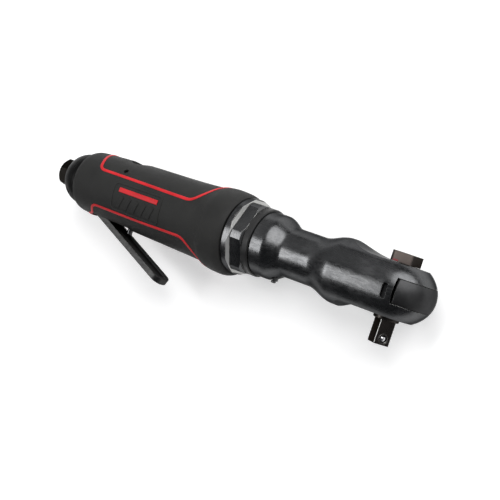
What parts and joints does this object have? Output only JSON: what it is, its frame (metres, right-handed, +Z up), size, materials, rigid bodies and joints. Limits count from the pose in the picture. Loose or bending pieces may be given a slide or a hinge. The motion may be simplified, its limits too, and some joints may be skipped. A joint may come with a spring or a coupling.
{
  "type": "air ratchet",
  "caption": "Straight air ratchet wrench with a lever throttle, vane motor, reduction gear and crank-driven square drive head, lying on its side.",
  "frame": {"origin": "middle of the base of the object's box, on the surface the tool lies on", "axes": "+X along the handle from the air inlet to the head, +Y away from the square drive, +Z up from the surface, towards the panel side of the grip"},
  "size_m": [0.281, 0.0716, 0.0518],
  "materials": {
    "oxide_steel": "gloss black oxide",
    "satin_yoke": "satin dark",
    "bright_steel": "ground",
    "housing_alloy": "cast",
    "grip_rubber": "matte moulded",
    "black_plastic": "fine texture",
    "brass": "turned",
    "phenolic": "pressed laminate",
    "seal_rubber": "matte",
    "felt": "felt"
  },
  "bodies": {
    "handle": {"motor_housing": "housing_alloy", "grip_sleeve": "grip_rubber", "inlet_bushing": "oxide_steel", "inlet_screen": "brass", "deflector_o_ring": "seal_rubber", "exhaust_muffler": "felt", "lever_pin": "bright_steel", "valve_bushing": "brass", "valve_spring": "bright_steel", "passage_plug": "satin_yoke", "rear_end_plate": "housing_alloy", "rear_bearing": "bright_steel", "cylinder": "satin_yoke", "front_end_plate": "housing_alloy", "front_bearing": "bright_steel", "gear_spacer": "satin_yoke", "ring_gear": "satin_yoke", "crank_bearing": "bright_steel", "crank_bushing": "brass", "clamp_nut": "oxide_steel", "ratchet_housing": "oxide_steel", "grease_fitting": "satin_yoke", "lower_thrust_washer": "brass", "upper_thrust_washer": "brass"},
    "deflector": {"exhaust_deflector": "black_plastic"},
    "lever": {"throttle_lever": "oxide_steel"},
    "valve": {"valve_stem": "bright_steel"},
    "regulator": {"air_regulator": "satin_yoke"},
    "rotor": {"rotor": "satin_yoke", "vane_1": "phenolic", "vane_2": "phenolic", "vane_3": "phenolic", "vane_4": "phenolic", "vane_5": "phenolic"},
    "crank": {"crankshaft": "satin_yoke", "drive_bushing": "bright_steel", "planet_pin_1": "bright_steel", "planet_pin_2": "bright_steel", "planet_pin_3": "bright_steel"},
    "planet_1": {"planet_gear_1": "bright_steel"},
    "planet_2": {"planet_gear_2": "bright_steel"},
    "planet_3": {"planet_gear_3": "bright_steel"},
    "yoke": {"ratchet_yoke": "satin_yoke"},
    "anvil": {"anvil": "oxide_steel", "retaining_ring": "bright_steel", "pawl_pin": "bright_steel"},
    "knob": {"reverse_knob": "satin_yoke", "pawl_plunger": "bright_steel", "plunger_spring": "bright_steel"},
    "pawl": {"ratchet_pawl": "bright_steel"},
    "ball": {"detent_ball": "bright_steel"}
  },
  "joints": [
    {"name": "deflector_swivel", "type": "hinge", "parent": "handle", "child": "deflector", "pos_m": [-0.1192, 0.01045, 0.02585], "axis": [1, 0, 0], "continuous": true},
    {"name": "lever_hinge", "type": "hinge", "parent": "handle", "child": "lever", "pos_m": [-0.1019, -0.00305, 0.02585], "axis": [0, 0, 1], "range_deg": [0, 9], "stiffness_Nm_per_rad": 0.6, "springref_deg": -34.38},
    {"name": "valve_slide", "type": "slide", "parent": "handle", "child": "valve", "axis": [0, 1, 0], "range_m": [0, 0.0045], "deforming": ["valve_spring"]},
    {"name": "regulator_turn", "type": "hinge", "parent": "handle", "child": "regulator", "pos_m": [-0.0825, 0.01045, 0.02585], "axis": [0, 1, 0], "range_deg": [-90, 90]},
    {"name": "crank_spin", "type": "hinge", "parent": "handle", "child": "crank", "pos_m": [0.0125, 0.01045, 0.02585], "axis": [1, 0, 0], "continuous": true},
    {"name": "rotor_spin", "type": "hinge", "parent": "handle", "child": "rotor", "pos_m": [-0.0665, 0.01045, 0.02585], "axis": [1, 0, 0], "continuous": true},
    {"name": "planet_spin_1", "type": "hinge", "parent": "crank", "child": "planet_1", "pos_m": [0.007, 0.0178, 0.02585], "axis": [1, 0, 0], "continuous": true},
    {"name": "planet_spin_2", "type": "hinge", "parent": "crank", "child": "planet_2", "pos_m": [0.007, 0.00678, 0.03222], "axis": [1, 0, 0], "continuous": true},
    {"name": "planet_spin_3", "type": "hinge", "parent": "crank", "child": "planet_3", "pos_m": [0.007, 0.00678, 0.01948], "axis": [1, 0, 0], "continuous": true},
    {"name": "yoke_swing", "type": "hinge", "parent": "handle", "child": "yoke", "pos_m": [0.1156, 0.01045, 0.02585], "axis": [0, 1, 0], "range_deg": [-3.2, 3.2]},
    {"name": "anvil_spin", "type": "hinge", "parent": "handle", "child": "anvil", "pos_m": [0.1156, 0.01045, 0.02585], "axis": [0, 1, 0], "continuous": true},
    {"name": "knob_turn", "type": "hinge", "parent": "anvil", "child": "knob", "pos_m": [0.1156, 0.01045, 0.02585], "axis": [0, 1, 0], "range_deg": [-60, 0]},
    {"name": "pawl_rock", "type": "hinge", "parent": "anvil", "child": "pawl", "pos_m": [0.1224, 0.01045, 0.02585], "axis": [0, 1, 0], "range_deg": [0, 12]},
    {"name": "ball_press", "type": "slide", "parent": "anvil", "child": "ball", "axis": [-0.788, 0, -0.6157], "range_m": [0, 0.0005], "stiffness_N_per_m": 800, "springref_m": -0.001}
  ],
  "couplings": [
    {"joint": "valve_slide", "follows": "lever_hinge", "m_per_rad": 0.0286},
    {"joint": "rotor_spin", "follows": "crank_spin", "ratio": 4.6667},
    {"joint": "pawl_rock", "follows": "knob_turn", "ratio": -0.2},
    {"joint": "planet_spin_1", "follows": "crank_spin", "ratio": -2.75},
    {"joint": "planet_spin_2", "follows": "crank_spin", "ratio": -2.75},
    {"joint": "planet_spin_3", "follows": "crank_spin", "ratio": -2.75}
  ]
}
